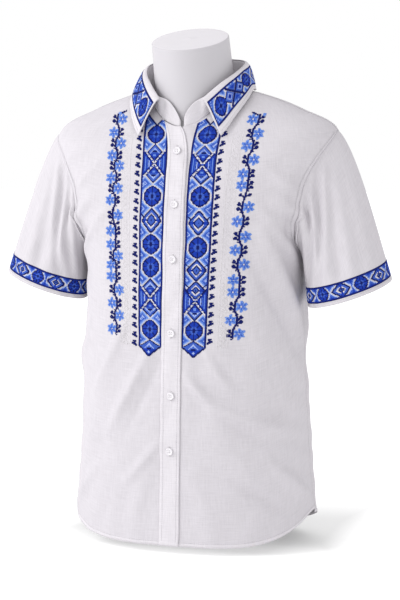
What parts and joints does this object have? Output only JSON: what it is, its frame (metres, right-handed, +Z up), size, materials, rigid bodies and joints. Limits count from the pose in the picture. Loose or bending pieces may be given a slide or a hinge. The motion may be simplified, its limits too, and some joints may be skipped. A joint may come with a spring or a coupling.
{
  "type": "embroidered folk shirt on a limbless torso form",
  "caption": "Short-sleeved folk shirt with a turned-down collar and buttoned placket, worn by a limbless torso form that stands on its flat foot.",
  "frame": {"origin": "the middle of the torso form's flat foot, on the surface it stands on", "axes": "+Z up, -Y towards the front of the shirt, +X towards the wearer's left"},
  "size_m": [0.6564, 0.2679, 0.8371],
  "materials": {
    "linen": "white slub linen, matt",
    "buttons": "white, satin",
    "form": "matt white"
  },
  "bodies": {
    "root": {"torso_form": "form", "front_left": "linen", "front_right": "linen", "front_placket": "linen", "back": "linen", "yoke": "linen", "sleeve_left": "linen", "sleeve_right": "linen", "collar_band": "linen", "collar": "linen", "button_1": "buttons", "button_2": "buttons", "button_3": "buttons", "button_4": "buttons", "button_5": "buttons", "button_6": "buttons"}
  },
  "joints": []
}
